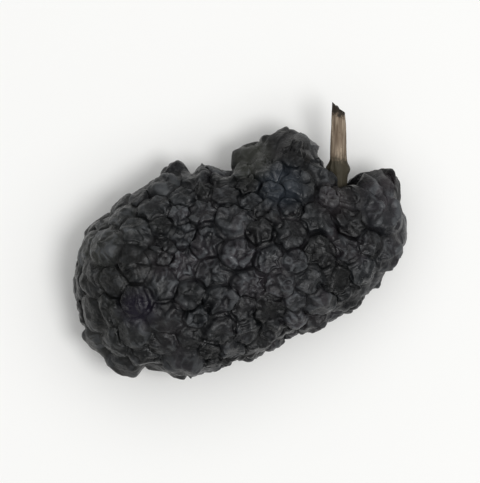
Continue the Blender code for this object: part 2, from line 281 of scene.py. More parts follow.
# Patches of other colours on the skin, as seen from above: place and radius in millimetres, strength and
# colour. The first lies below the dust and the crests, and the others over them.
UNDER_PATCH = ((0.6, 5.0), 2.0, 1.0, (0.0150, 0.0165, 0.0128, 1.0))  # olive, on the shoulder
PATCHES = (
    ((2.4, 3.2), 1.9, 0.65, (0.0285, 0.0360, 0.0465, 1.0)),  # blue, below the shoulder
    ((-5.9, -3.9), 1.6, 0.80, (0.0050, 0.0030, 0.0108, 1.0)),  # purple, at the blossom end
    ((0.5, 5.0), 1.9, 0.55, (0.0370, 0.0385, 0.0310, 1.0)),  # olive, on the shoulder
    ((5.4, 2.4), 1.5, 0.45, (0.0370, 0.0305, 0.0320, 1.0)),  # brown, beside the stalk
    ((8.7, 3.5), 0.9, 0.45, (0.0430, 0.0340, 0.0365, 1.0)),  # and on the shoulder beyond it
)
PATCH_CORE = 0.2  # share of its radius within which a patch is full

# Spans: two values, and what they give where that isn't 0 and 1.
SHADE_LEVELS = (0.0, 1.0, 0.26, 1.60)  # lightness of the darkest and the palest drupelet
BROAD_LEVELS = (0.3, 0.7, 0.55, 1.45)  # and of broad patches of the skin
# Where the dust and painted highlight lie: in patches, off the hollows, on the tops and in grains.
DUST_AND_HIGHLIGHT_PATCHES = (0.42, 0.70)
DUST_AND_HIGHLIGHT_HOLLOWS = (0.9, 0.0)
DUST_AND_HIGHLIGHT_LIFTS = (0.55, 0.95)
DUST_AND_HIGHLIGHT_GRAINS = (0.30, 0.65, 0.25, 1.0)
SKIN_ROUGHNESS = (0.35, 0.65, 0.25, 0.47)
GRAIN_ROUGHNESS = (0.3, 0.7, -0.06, 0.08)
FOOT_WOBBLE = (0.3, 0.7, -0.03, 0.03)
STALK_ROUGHNESS = (0.3, 0.7, 0.62, 0.85)
FLOOR_CLOUDS = (0.2, 0.8)

# Other numbers of the materials.
# How far the dust and painted highlight cover the skin.
DUST_AND_HIGHLIGHT_SHARE = 0.7
SKIN_SPECULAR = 0.30
SKIN_GRAIN = 1.4  # of the grain in the bump, beside the fine noise
SKIN_BUMP = 0.035 * MM
GROOVE_SHARE = 0.75
STALK_SPECULAR = 0.35
STALK_BUMP = 0.03 * MM
FLOOR_SHADE = 0.985  # of its darker clouds
FLOOR_ROUGHNESS = 0.6
FLOOR_SPECULAR = 0.2

# Camera, floor and light. Each light has a place, a width and a power.
FRAME_WIDTH = 28.5 * MM  # what the picture spans at FRAME_LEVEL
FRAME_LEVEL = 4 * MM
CAMERA_HEIGHT = 300 * MM
CLIPPING = (10 * MM, 2000 * MM)
SENSOR = 36.0
FLOOR_SIZE = 600 * MM
SKY_STRENGTH = 0.20
SKY_LIGHT = ((0.06, 0.04, 0.55), 1.0, 2.9)
LAMP = ((0.14, -0.05, 0.50), 0.16, 1.0)


def unit(vectors):
    vectors = np.asarray(vectors, float)
    return vectors / np.linalg.norm(vectors, axis=-1, keepdims=True)


def bell(values, width):
    """A smooth hump: 1 where a value is nought, and small where it is past the width."""
    return np.exp(-((values / width) ** 2))


def smooth_step(low, high, values):
    """A smooth rise from 0 where a value is low to 1 where it is high."""
    share = np.clip((values - low) / (high - low), 0, 1)
    return share * share * (3 - 2 * share)


def noise_values(points):
    flat = np.reshape(points, (-1, 3))
    return np.reshape([noise.noise(point) for point in flat.tolist()], np.shape(points)[:-1])


def noise_vectors(points):
    """Vectors of noise. They get a seed because Blender would else use the time for one, and each run
    would differ."""
    noise.seed_set(DETAIL_SEED)
    return np.array([noise.noise_vector(point)[:] for point in points.tolist()])


def egg(directions):
    """Points of the smooth egg, one for each direction from its centre."""
    along = np.abs(directions[:, 0])
    around = np.hypot(directions[:, 1], directions[:, 2])
    shape = directions / ((along**BLUNTNESS + around**BLUNTNESS) ** (1 / BLUNTNESS))[:, None]
    width = 1 - TAPER * shape[:, 0]
    return np.column_stack(
        (HALF_LENGTH * shape[:, 0], HALF_WIDTH * width * shape[:, 1], HALF_HEIGHT * width * shape[:, 2])
    )


def directions_of(points):
    """The directions in which the egg passes through, or close to, points near its surface."""
    x = np.clip(points[:, 0] / HALF_LENGTH, -1, 1)
    width = 1 - TAPER * x
    y = points[:, 1] / (HALF_WIDTH * width)
    z = points[:, 2] / (HALF_HEIGHT * width)
    return unit(np.column_stack((x, y, z)))


def normals(surface, directions):
    """Outward unit normals of a surface, from its points a small step to each side."""
    near_axis = np.abs(directions[:, :1]) > NEAR_AXIS
    helper = np.where(near_axis, (0.0, 1.0, 0.0), (1.0, 0.0, 0.0))
    first = unit(np.cross(directions, helper))
    second = np.cross(directions, first)
    slopes = [
        surface(unit(directions + NORMAL_STEP * side)) - surface(unit(directions - NORMAL_STEP * side))
        for side in (first, second)
    ]
    return unit(np.cross(*slopes))


def crease_surface(directions):
    """The surface that the creases lie on: the egg with its lumps and its settled underside."""
    points = egg(directions)
    raised = np.zeros(len(points))
    for place, height, spread in LUMPS:
        away = np.linalg.norm(points / MM - place, axis=1)
        raised += height * MM * bell(away, spread)
    points = points + raised[:, None] * normals(egg, directions)
    below = (-points[:, 2] - FLAT_DEPTH) / FLAT_BLEND
    points[:, 2] += FLAT_SHARE * FLAT_BLEND * np.logaddexp(0, below)
    return points


def in_part(points):
    """Points of the egg's own frame in the part's frame, none below what the fruit lies on."""
    across = np.array((math.cos(AXIS_TURN), math.sin(AXIS_TURN), 0))
    turn = np.array((across, (-across[1], across[0], 0), (0, 0, 1)))
    placed = np.asarray(points) @ turn + CENTRE
    placed[..., 2] = np.maximum(placed[..., 2], 0)
    return placed


def notched(points):
    """Points of the fruit in the part's frame, moved across its axis where the outline is notched."""
    points = np.array(points)
    across = np.array((-math.sin(AXIS_TURN), math.cos(AXIS_TURN)))
    plan = points[:, :2]
    moved = np.zeros(plan.shape)
    for place, height, spread in NOTCHES:
        outward = across * np.sign(place[1])
        away = np.linalg.norm(plan / MM - place, axis=1)
        moved += height * MM * bell(away, spread)[:, None] * outward
    return np.column_stack((plan + moved, points[:, 2]))


def spiral_directions(count):
    """Directions along a spiral from the blossom end to the narrow end, each with as much of the egg round
    it as the next."""
    tilt = np.linspace(math.pi, 0, PROFILE_STEPS)
    profile = egg(np.column_stack((np.cos(tilt), np.sin(tilt), np.zeros(PROFILE_STEPS))))
    lengths = np.hypot(np.diff(profile[:, 0]), np.diff(profile[:, 1]))
    area = np.append(0, np.cumsum(lengths * (profile[1:, 1] + profile[:-1, 1])))
    turns = np.arange(count)
    tilts = np.interp((turns + 0.5) / count, area / area[-1], tilt)
    around = turns * GOLDEN_ANGLE
    return np.column_stack(
        (np.cos(tilts), np.sin(tilts) * np.cos(around), np.sin(tilts) * np.sin(around))
    )


def packed_directions(sizes):
    """Directions of the drupelets' middles: a spiral over the egg, pushed apart until each has room for its
    size. The last one is the stalk's, which keeps its place."""
    spiral = spiral_directions(len(sizes) - 1)
    stalk = directions_of(STALK_PLACE[None])
    directions = np.vstack((spiral, stalk))
    room = SPACING * (sizes[:, None] + sizes) / 2
    np.fill_diagonal(room, 0)
    for _ in range(PACKING_STEPS):
        points = crease_surface(directions)
        apart = points[:, None] - points
        distance = np.linalg.norm(apart, axis=2) + np.eye(len(points))
        push = np.clip(room - distance, 0, None) / distance
        step = PUSH * (push[:, :, None] * apart).sum(axis=1)
        directions = directions_of(egg(directions) + step)
        directions[-1] = stalk
    return directions


def net_triangles(on_egg, on_creases):
    """Even triangles between the drupelets' middles, each as three indices, facing out."""
    mesh = bmesh.new()
    for point in on_egg:
        mesh.verts.new(point / MM)
    mesh.verts.index_update()
    bmesh.ops.convex_hull(mesh, input=mesh.verts)
    for vertex, point in zip(mesh.verts, on_creases):
        vertex.co = point / MM
    bmesh.ops.beautify_fill(mesh, faces=mesh.faces, edges=mesh.edges, method="ANGLE")
    bmesh.ops.recalc_face_normals(mesh, faces=mesh.faces)
    triangles = [tuple(vertex.index for vertex in face.verts) for face in mesh.faces]
    mesh.free()
    return triangles


def rounds(triangles, count):
    """For each drupelet, its neighbours in order round it, each with the triangle that follows it."""
    following = [{} for _ in range(count)]
    for number, (a, b, c) in enumerate(triangles):
        following[a][b] = (c, number)
        following[b][c] = (a, number)
        following[c][a] = (b, number)
    orders = []
    for step in following:
        neighbour = min(step)
        order = []
        for _ in step:
            order.append((neighbour, step[neighbour][1]))
            neighbour = step[neighbour][0]
        orders.append(order)
    return orders


class Net:
    """The drupelets' places, sizes and leanings, and the net between them, all in the egg's own frame."""

    def __init__(self):
        chance = np.random.RandomState(SEED)
        sizes = np.clip(chance.normal(1, SIZE_SPREAD, DRUPELETS), *SIZE_LIMITS)
        heights = np.clip(chance.normal(1, HEIGHT_SPREAD, DRUPELETS), *HEIGHT_LIMITS)
        self.leans = chance.uniform(-LEAN, LEAN, (DRUPELETS, 3))
        self.dimples = DIMPLE * chance.uniform(0, 1, DRUPELETS) ** DIMPLE_POWER
        self.folds = FOLD * chance.uniform(0, 1, DRUPELETS)
        self.fold_ways = unit(chance.normal(0, 1, (DRUPELETS, 3)))
        from_end = np.arange(DRUPELETS) / (END_ZONE * DRUPELETS)
        sizes *= 1 + END_GROWTH * np.clip(1 - from_end, 0, 1)
        self.heights = BEAD_HEIGHT * heights * np.sqrt(sizes)
        self.sizes = np.append(sizes, STALK_CELL)
        directions = packed_directions(self.sizes)
        self.eggs = egg(directions)
        self.middles = crease_surface(directions)
        self.ups = unit(normals(crease_surface, directions) + SPLAY * normals(egg, directions))
        unpressed = 1 - np.clip(-self.ups[:DRUPELETS, 2], 0, 1)
        self.dimples *= unpressed
        self.folds *= unpressed
        self.triangles = net_triangles(self.eggs, self.middles)
        self.rounds = rounds(self.triangles, len(self.sizes))
        beside_stalk = [cell for cell, _ in self.rounds[-1]]
        self.heights[beside_stalk] *= 1 - STALK_SHRINK
        self.leans[beside_stalk] = STALK_LEAN_BACK * unit(self.middles[beside_stalk] - self.middles[-1])

    def between(self, members):
        """The middle of some drupelets inside the egg, nearest to the smallest of them."""
        members = list(members)
        return np.average(self.eggs[members], axis=0, weights=1 / self.sizes[members])


def joined(net, pair):
    """How far two neighbours have run together: at the blossom end some that lie in line along the fruit,
    and elsewhere a few in part."""
    first, second = pair
    if second == DRUPELETS:
        return 0.0
    across = unit(net.middles[second] - net.middles[first])
    up = net.ups[first]
    lengthwise = unit(np.array((1.0, 0.0, 0.0)) - up[0] * up)
    in_line = smooth_step(*JOIN_SLANTS, abs(across @ lengthwise))
    inland = smooth_step(*END_PLACES, (net.middles[first, 0] + net.middles[second, 0]) / 2)
    at_end = (1 - inland) * in_line * ((first + second) % JOIN_EVERY == 0)
    elsewhere = PART_JOIN * inland * ((first + second) % PART_JOIN_EVERY == 0)
    return at_end + elsewhere


class Creases:
    """The fine points of the creases. solid has them on the solid's surface, raised says how far above it
    the drupelets' feet are there, and places has them as they are seen."""

    def __init__(self, net):
        self.inner = []
        self.depths = []
        self.joins = []
        self.numbers = {}
        for number, triangle in enumerate(net.triangles):
            pit = self.add(("pit", number), net.between(triangle), PIT_DEPTH, 0.0)
            for k in range(3):
                side = frozenset((triangle[k], triangle[k - 1]))
                join = joined(net, sorted(side))
                if ("side", side) not in self.numbers:
                    self.add(("side", side), net.between(side), 0.0, join)
                self.add_run(side, number, pit, join)
        directions = directions_of(np.array(self.inner))
        outward = normals(crease_surface, directions)
        self.solid = crease_surface(directions) - np.array(self.depths)[:, None] * outward
        self.joins = np.array(self.joins)
        self.raised = np.minimum(self.rise(outward), self.room(net))
        lifted = self.raised - GROOVE * (1 - self.joins)
        wobble = CREASE_WOBBLE * noise_vectors(self.solid / MM * WOBBLE_SCALE)
        self.places = self.solid + wobble + lifted[:, None] * outward

    def add(self, key, point, depth, join):
        """Notes a point inside the egg, its depth below the surface, and how far its crease is closed."""
        self.numbers[key] = len(self.inner)
        self.inner.append(point)
        self.depths.append(depth)
        self.joins.append(join)
        return self.numbers[key]

    def add_run(self, side, number, pit, join):
        """The points between the middle of a side and the pit at its end."""
        start = self.inner[self.numbers["side", side]]
        end = self.inner[pit]
        for step in range(1, EDGE_STEPS):
            share = step / EDGE_STEPS
            point = start + share * (end - start)
            self.add((side, number, step), point, share**2 * PIT_DEPTH, join * (1 - share**2))

    def rise(self, outward):
        """How far the drupelets' feet lie above the solid's creases, where they have room."""
        most, least = CREASE_RISES
        deep = smooth_step(*RISE_NOISE, noise_values(self.solid / MM * RISE_SCALE))
        rise = most + (least - most) * (deep * np.abs(outward[:, 2]))
        return rise + (BEAD_HEIGHT - rise) * self.joins

    def room(self, net):
        """How far each point may rise without standing out beside the lowest drupelet round it."""
        room = np.full(len(self.inner), BEAD_HEIGHT)
        for cell in range(DRUPELETS):
            ring = self.border(net, cell)
            limit = RISE_LIMIT + (JOIN_LIMIT - RISE_LIMIT) * self.joins[ring]
            room[ring] = np.minimum(room[ring], limit * net.heights[cell])
        return room

    def border(self, net, cell):
        """The numbers of the points round a cell, in order."""
        found = []
        order = net.rounds[cell]
        for k, (neighbour, triangle) in enumerate(order):
            side = frozenset((cell, neighbour))
            following = frozenset((cell, order[(k + 1) % len(order)][0]))
            found.append(self.numbers["side", side])
            found += [self.numbers[side, triangle, step] for step in range(1, EDGE_STEPS)]
            found.append(self.numbers["pit", triangle])
            found += [self.numbers[following, triangle, step] for step in range(EDGE_STEPS - 1, 0, -1)]
        return found


def facing(ups):
    """1 where a drupelet faces up or down, and SIDE_RELIEF where it faces sideways."""
    return SIDE_RELIEF + (1 - SIDE_RELIEF) * np.abs(ups[..., 2])


class Detail:
    """What sets one bead's skin apart from the next one's."""

    def __init__(self, net):
        chance = np.random.RandomState(DETAIL_SEED)
        self.shade = chance.uniform(0, 1, DRUPELETS)
        self.place = chance.uniform(-NOISE_REACH, NOISE_REACH, (DRUPELETS, 3))
        self.turns = chance.uniform(*WRINKLE_TURNS, DRUPELETS)
        self.wrinkled = chance.uniform(*WRINKLE_SHARES, DRUPELETS)
        self.seamed = chance.uniform(0, 1, DRUPELETS)
        self.seam_angles = chance.normal(0, SEAM_SCATTER, (DRUPELETS, SEAMS))
        self.seam_angles += np.arange(SEAMS) * 2 * math.pi / SEAMS
        self.nubbed = chance.uniform(0, 1, DRUPELETS) ** NUB_POWER
        self.keels = KEEL * np.clip(chance.uniform(*SHRINKING, DRUPELETS), 0, 1)
        self.keel_angles = chance.uniform(0, math.pi, DRUPELETS)
        self.bends = chance.uniform(-KEEL_BEND, KEEL_BEND, (2, DRUPELETS))
        self.inland = smooth_step(*END_PLACES, net.middles[:DRUPELETS, 0])
        self.sinks = SINK * np.clip(chance.uniform(*SHRINKING, DRUPELETS), 0, 1) * self.inland
        self.sink_places = chance.uniform(-SINK_ASIDE, SINK_ASIDE, (DRUPELETS, 2))
        self.fit(net)

    def fit(self, net):
        """Turns the keels at the blossom end along the fruit and makes them all alike, and makes keels and
        sunken middles shallower where a drupelet faces sideways."""
        ups = net.ups[:DRUPELETS]
        sides = unit(np.cross(ups, net.fold_ways))
        lengthwise = np.arctan2(np.cross(ups, sides)[:, 0], sides[:, 0]) + math.pi / 2
        self.keel_angles = np.where(self.inland < 0.5, lengthwise, self.keel_angles)
        self.keels += END_KEEL * (1 - self.inland)
        self.keels *= facing(ups)
        self.sinks *= facing(ups)

    def relief(self, net, cell):
        """How strong a bead's relief is: less where it faces sideways, and towards the blossom end."""
        return facing(net.ups[cell]) * (END_RELIEF + (1 - END_RELIEF) * self.inland[cell])


def sinking(detail, cell, x, y):
    """How deep in its sunken middle each point of a bead lies, and how near the rim round that."""
    away = np.hypot(x - detail.sink_places[cell, 0], y - detail.sink_places[cell, 1])
    inside = np.exp(-((away / SINK_WIDTH) ** SINK_POWER))
    return inside, bell(away - RIM_PLACE * SINK_WIDTH, RIM_WIDTH)


def seaming(detail, cell, out, along, aside):
    """How deep in a seam each point of a bead lies. On the lip beside a seam it is less than nought."""
    deep = np.zeros(np.shape(out + along))
    for angle in detail.seam_angles[cell]:
        ahead = along * math.cos(angle) + aside * math.sin(angle)
        beside = out * (aside * math.cos(angle) - along * math.sin(angle))
        groove = bell(beside, SEAM_WIDTH) - LIP_SHARE * bell(beside - LIP_PLACE, SEAM_WIDTH)
        deep += groove * smooth_step(0.0, SEAM_TURN, ahead) * smooth_step(*SEAM_STARTS, out)
    return deep * detail.seamed[cell]


def skin(detail, cell, out, along, aside, points):
    """How far a bead's skin stands out beyond its plain form, and how much of that is valley. out is the
    share of the way out, and along and aside are the parts of the way to each point."""
    place = detail.place[cell]
    pole = smooth_step(0.0, TOP_ZONE, out)
    radius = detail.turns[cell] * pole
    round_top = np.broadcast_arrays(radius * along, radius * aside, WRINKLE_SLANT * out)
    wrinkle = bell(noise_values(np.stack(round_top, axis=-1) + place), WRINKLE_WIDTH)
    wrinkle = wrinkle * (TOP_WRINKLE + (1 - TOP_WRINKLE) * pole)
    winding = bell(noise_values(points / MM * NET_SCALE), NET_WIDTH)
    lump = noise_values(points / MM * LUMP_SCALE - place)
    seam = seaming(detail, cell, out, along, aside)
    inside, rim = sinking(detail, cell, out * along, out * aside)
    fade = 1 - smooth_step(FADE_START, 1.0, out)
    height = LUMP_HEIGHT * lump + WRINKLE_HEIGHT * detail.wrinkled[cell] * (wrinkle - WRINKLE_LEVEL)
    height += NET_HEIGHT * (winding - NET_LEVEL) - SEAM_DEPTH * seam
    height = height * fade + NUB_HEIGHT * detail.nubbed[cell] * bell(out, NUB_WIDTH)
    sunk = detail.sinks[cell] / SINK * (inside - rim * fade)
    return height, np.clip(1 - wrinkle - NET_SHARE * winding + seam + sunk, 0, 1)


def bead_frame(net, cell, border):
    """For each border point of a cell: the way to it across the bead, how far the bead's rounded crown and
    its foot go there, and how the surface under the bead bends away."""
    up = net.ups[cell]
    away = border - net.middles[cell]
    rise = away @ up
    across = away - rise[:, None] * up
    far = np.linalg.norm(across, axis=1)
    room = 1 - SQUEEZE * np.clip(rise / far - SQUEEZE_SLOPE, 0, SQUEEZE_LIMIT)
    whole = WALL * far * room
    rounded = (whole**-ROUND_OFF + (ROUNDNESS * far.mean()) ** -ROUND_OFF) ** (-1 / ROUND_OFF)
    return across / far[:, None], rounded, whole, rise / far**2


def bead_form(net, detail, cell, frame, out, high, along, aside):
    """Points of a bead's plain form: its profile, dimple, fold, keel and sunken middle. The frame holds the
    way to each point, its reach, how far the surface falls away there, and where the bead's side starts."""
    way, reach, bend, base = frame
    x = out * along
    y = out * aside
    fold_bend, keel_bend = detail.bends[:, cell]
    cosine = math.cos(detail.keel_angles[cell])
    sine = math.sin(detail.keel_angles[cell])
    from_fold = x + fold_bend * y**2
    from_keel = x * cosine + y * sine + keel_bend * (y * cosine - x * sine) ** 2
    inside, _ = sinking(detail, cell, x, y)
    sunk = net.folds[cell] * bell(from_fold, FOLD_WIDTH)
    sunk = sunk + net.dimples[cell] * bell(out, DIMPLE_WIDTH)
    sunk = sunk + detail.keels[cell] * (1 - bell(from_keel, KEEL_WIDTH))
    sunk = np.minimum(sunk + detail.sinks[cell] * inside, MOST_SUNK)
    share = base + (high - base) * (1 - sunk)
    across = (out * reach)[..., None] * way
    foot = net.middles[cell] + across + (out**2 * bend)[..., None] * net.ups[cell]
    lift = (share * net.heights[cell])[..., None]
    return foot + lift * net.ups[cell] + lift * share[..., None] * net.leans[cell]


def grid_normals(points):
    """Outward normals of closed rings of points, the outermost first."""
    around = np.roll(points, -1, axis=1) - np.roll(points, 1, axis=1)
    inward = np.gradient(points, axis=0)
    return unit(np.cross(around, inward))


def bead_top(net, detail, cell, way, base):
    """The point on a bead's top, and its form."""
    nought = np.zeros(1)
    frame = (way[:1], nought, nought, base.mean())
    point = bead_form(net, detail, cell, frame, nought, nought + 1, nought, nought)
    height, hollow = skin(detail, cell, nought, nought, nought, point)
    return point + height[:, None] * net.ups[cell], (1.0, hollow[0], detail.shade[cell])


def bead_points(net, detail, cell, border, raised):
    """The rings of a bead from its crease up, their forms, its top and the top's form. Where the crease is
    raised, the bead's side starts higher."""
    way, rounded, whole, curve = bead_frame(net, cell, border)
    side = unit(np.cross(net.ups[cell], net.fold_ways[cell]))
    along = way @ side
    aside = way @ np.cross(net.ups[cell], side)
    round_bead = np.column_stack((OUTLINE_TURNS * along, OUTLINE_TURNS * aside, np.zeros(len(way))))
    wobble = noise_values(round_bead + detail.place[cell])
    out = np.cos(RING_ANGLES)[:, None] ** SIDE_POWER
    reach = (rounded + (whole - rounded) * out**CORNER_POWER) * (1 + OUTLINE_WOBBLE * wobble)
    base = raised / net.heights[cell]
    high = base + (1 - base) * np.sin(RING_ANGLES)[:, None] ** TOP_POWER
    frame = (way, reach, curve * reach**2, base)
    plain = bead_form(net, detail, cell, frame, out, high, along, aside)
    height, hollow = skin(detail, cell, out, along, aside, plain)
    height = height * detail.relief(net, cell)
    points = plain + height[..., None] * grid_normals(plain)
    forms = np.stack((high, hollow, np.full(high.shape, detail.shade[cell])), axis=-1)
    return points, forms, *bead_top(net, detail, cell, way, base)


class Build:
    """A mesh in the making: its points and triangles, and for each point its form, which is its height
    share, its hollow and its bead's shade."""

    def __init__(self):
        self.points = []
        self.faces = []
        self.forms = []

    def add(self, points, forms):
        """Takes in one or more points with their forms, and gives back their numbers."""
        first = len(self.points)
        self.points += np.reshape(points, (-1, 3)).tolist()
        self.forms += np.reshape(forms, (-1, 3)).tolist()
        return list(range(first, len(self.points)))

    def band(self, outer, inner):
        """Joins a ring to one with as many points."""
        for k in range(len(outer)):
            following = (k + 1) % len(outer)
            self.faces.append((outer[k], outer[following], inner[following]))
            self.faces.append((outer[k], inner[following], inner[k]))

    def halving_band(self, outer, inner):
        """Joins a ring to one with half as many points."""
        for k in range(len(inner)):
            following = (k + 1) % len(inner)
            self.faces.append((outer[2 * k - 1], outer[2 * k], inner[k]))
            self.faces.append((outer[2 * k], outer[2 * k + 1], inner[k]))
            self.faces.append((outer[2 * k + 1], inner[following], inner[k]))

    def fan(self, ring, tip):
        """Closes a ring with one point."""
        for k in range(len(ring)):
            self.faces.append((ring[k], ring[(k + 1) % len(ring)], tip))

    def finished(self, name, material):
        data = bpy.data.meshes.new(name)
        data.from_pydata(self.points, [], self.faces)
        colours = data.color_attributes.new("form", "FLOAT_COLOR", "POINT")
        colours.data.foreach_set("color", np.column_stack((self.forms, np.ones(len(self.forms)))).ravel())
        data.shade_smooth()
        data.set_sharp_from_angle(angle=SHARP_ANGLE)
        return placed_object(name, data, material)


def placed_object(name, data, material):
    data.materials.append(material)
    obj = bpy.data.objects.new(name, data)
    bpy.context.scene.collection.objects.link(obj)
    return obj


def add_bead(build, net, detail, cell, creases, crease_ring):
    """Sets a bead on its crease, with fewer points round it towards its top."""
    border = creases.solid[crease_ring]
    raised = creases.raised[crease_ring]
    points, forms, top, top_form = bead_points(net, detail, cell, border, raised)
    points = in_part(points)
    outer = crease_ring
    for k, step in enumerate(RING_STEPS):
        ring = build.add(points[k][::step], forms[k][::step])
        if len(ring) < len(outer):
            build.halving_band(outer, ring)
        else:
            build.band(outer, ring)
        outer = ring
    build.fan(outer, build.add(in_part(top), top_form)[0])


def circle(centre, axis, towards, radius):
    """Points round a centre, each on the side of one of the points that it goes towards."""
    across = towards - centre
    across = across - (across @ axis)[:, None] * axis
    return centre + radius * unit(across)


def add_socket(build, net, border, crease_ring):
    """The blind hole that the stalk is rooted in, painted dark as shade."""
    mouth = in_part(net.middles[-1])
    axis = unit(STALK_LEAN)
    radius = STALK_RADIUS * (1 + STALK_SWELL) + SOCKET_GAP
    floor = mouth - (STALK_ROOT + SOCKET_SPARE) * axis
    # Forms of nought paint the socket dark, as painted shade.
    painted_shade_forms = np.zeros((len(border), 3))
    rim = build.add(circle(mouth, axis, in_part(border), radius), painted_shade_forms)
    bottom = build.add(circle(floor, axis, in_part(border), radius), painted_shade_forms)
    build.band(crease_ring, rim)
    build.band(rim, bottom)
    build.fan(bottom, build.add(floor, painted_shade_forms[:1])[0])


def make_fruit(net, detail, material):
    """The whole fruit as one closed mesh: its creases, a bead over each cell, and the stalk's socket."""
    creases = Creases(net)
    build = Build()
    count = len(creases.places)
    forms = np.column_stack((creases.joins, np.full(count, CREASE_HOLLOW), np.full(count, CREASE_SHADE)))
    build.add(in_part(creases.places), forms)
    for cell in range(len(net.rounds)):
        crease_ring = creases.border(net, cell)
        if cell < DRUPELETS:
            add_bead(build, net, detail, cell, creases, crease_ring)
        else:
            add_socket(build, net, creases.solid[crease_ring], crease_ring)
    build.points = notched(build.points).tolist()
    return build.finished("fruit_skin", material)


def stalk_radius(share):
    """Thickness along the stalk, from its root at 0 to its broken end at 1."""
    swell = STALK_SWELL * (1 - share) ** 2
    return STALK_RADIUS * (1 + swell - (1 - STALK_TIP) * share**4)


def stalk_relief(share, along, around):
    """Round the stalk at one place: its radius, how far back it broke off, and where its grooves are."""
    place = np.column_stack((FIBRE_TURNS * around, np.full(STALK_SIDES, FIBRE_SCALE * along / MM)))
    groove = bell(noise_values(place + FIBRE_NOISE), FIBRE_WIDTH)
    collar = COLLAR * bell(share - COLLAR_PLACE, COLLAR_WIDTH)
    collar = collar * (1 + COLLAR_SPREAD * noise_values(COLLAR_SCALE * place + COLLAR_NOISE))
    radius = stalk_radius(share) * (1 + FIBRE_HEIGHT - FIBRE_DEPTH * groove + collar)
    tip = np.column_stack((SPLINTER_TURNS * around, np.full(STALK_SIDES, SPLINTER_NOISE)))
    splinters = np.abs(SPLINTERS * noise_values(tip))
    back = share**BREAK_POWER * (STALK_BREAK * (1 + around[:, 0]) / 2 + splinters)
    return radius, back, groove


def make_stalk(net, material):
    """A slightly bowed, fibrous stem, whose tip broke off on a slant."""
    mouth = in_part(net.middles[-1])
    axis = unit(STALK_LEAN)
    side = unit(np.cross(axis, (0, 0, 1)))
    top = np.cross(side, axis)
    turns = np.arange(STALK_SIDES) * 2 * math.pi / STALK_SIDES
    around = np.column_stack((np.cos(turns), np.sin(turns)))
    build = Build()
    rings = []
    for share in np.linspace(0, 1, STALK_SECTIONS):
        along = share * (STALK_ROOT + STALK_REACH) - STALK_ROOT
        radius, back, groove = stalk_relief(share, along, around)
        bow = STALK_BOW * max(along / STALK_REACH, 0) ** 2
        ring = mouth + (along - back)[:, None] * axis + (radius * around[:, 0])[:, None] * side
        ring = ring + (radius * around[:, 1] + bow)[:, None] * top
        form = np.column_stack((np.full(STALK_SIDES, share), groove, np.zeros(STALK_SIDES)))
        rings.append(build.add(ring, form))
    for lower, upper in zip(rings, rings[1:]):
        build.band(lower, upper)
    for ring, share in ((rings[-1], 1), (rings[0][::-1], 0)):
        middle = np.mean([build.points[k] for k in ring], axis=0)
        build.fan(ring, build.add(middle, (share, 0, 0))[0])
    return build.finished("stalk_fibres", material)


class Paint:
    """A material in the making. Each input is a plain value, or the output of a node made before."""

    def __init__(self, name):
        self.material = bpy.data.materials.new(name)
        self.material.use_nodes = True
        self.tree = self.material.node_tree
        self.shader = self.tree.nodes["Principled BSDF"]

    def feed(self, socket, value):
        if isinstance(value, bpy.types.NodeSocket):
            self.tree.links.new(value, socket)
        else:
            socket.default_value = value

    def node(self, kind, *inputs):
        made = self.tree.nodes.new(kind)
        for socket, value in zip(made.inputs, inputs):
            if value is not None:
                self.feed(socket, value)
        return made

    def object_place(self):
        return self.tree.nodes.new("ShaderNodeTexCoord").outputs["Object"]

    def noise(self, scale, detail, roughness, stretch=(1.0, 1.0, 1.0)):
        """Noise in the object's own coordinates, with scale in features per metre."""
        place = self.node("ShaderNodeMapping", self.object_place(), None, None, stretch).outputs[0]
        made = self.tree.nodes.new("ShaderNodeTexNoise")
        self.feed(made.inputs["Vector"], place)
        self.feed(made.inputs["Scale"], scale)
        self.feed(made.inputs["Detail"], detail)
        self.feed(made.inputs["Roughness"], roughness)
        return made.outputs[0]

    def math(self, operation, *inputs):
        made = self.node("ShaderNodeMath", *inputs)
        made.operation = operation
        return made.outputs[0]

    def span(self, value, low, high, to_low=0.0, to_high=1.0):
        """value's way from low to high, smoothly, given as a number from to_low to to_high."""
        made = self.node("ShaderNodeMapRange", value, low, high, to_low, to_high)
        made.interpolation_type = "SMOOTHSTEP"
        return made.outputs[0]

    def blend(self, share, first, second):
        made = self.tree.nodes.new("ShaderNodeMix")
        made.data_type = "RGBA"
        self.feed(made.inputs["Factor"], share)
        self.feed(made.inputs["A"], first)
        self.feed(made.inputs["B"], second)
        return made.outputs["Result"]

    def layer(self, tint, value, start, full, most, over):
        """tint covered by another colour: not at all where value is start, and by most where it is full."""
        return self.blend(self.span(value, start, full, 0.0, most), tint, over)

    def patch(self, tint, middle, radius, strength, over):
        """tint with a soft round patch of another colour over it, as seen from above, in millimetres."""
        aside = [
            self.math("POWER", self.math("SUBTRACT", self.place(axis), value * MM), 2.0)
            for axis, value in zip("XY", middle)
        ]
        away = self.math("SQRT", self.math("ADD", *aside))
        return self.layer(tint, away, radius * MM, PATCH_CORE * radius * MM, strength, over)

    def scaled(self, tint, level):
        made = self.node("ShaderNodeVectorMath", tint, None, None, level)
        made.operation = "SCALE"
        return made.outputs[0]

    def form(self):
        """The mesh's own numbers: height share, hollow and shade."""
        made = self.tree.nodes.new("ShaderNodeAttribute")
        made.attribute_name = "form"
        split = self.node("ShaderNodeSeparateColor", made.outputs["Color"])
        return split.outputs[0], split.outputs[1], split.outputs[2]

    def place(self, axis):
        """The object's own coordinate along X, Y or Z."""
        return self.node("ShaderNodeSeparateXYZ", self.object_place()).outputs[axis]

    def bump(self, height, distance):
        made = self.tree.nodes.new("ShaderNodeBump")
        made.inputs["Distance"].default_value = distance
        self.feed(made.inputs["Height"], height)
        self.feed(self.shader.inputs["Normal"], made.outputs[0])

    def finished(self, tint, roughness, specular):
        self.feed(self.shader.inputs["Base Color"], tint)
        self.feed(self.shader.inputs["Roughness"], roughness)
        self.shader.inputs["Specular IOR Level"].default_value = specular
        return self.material


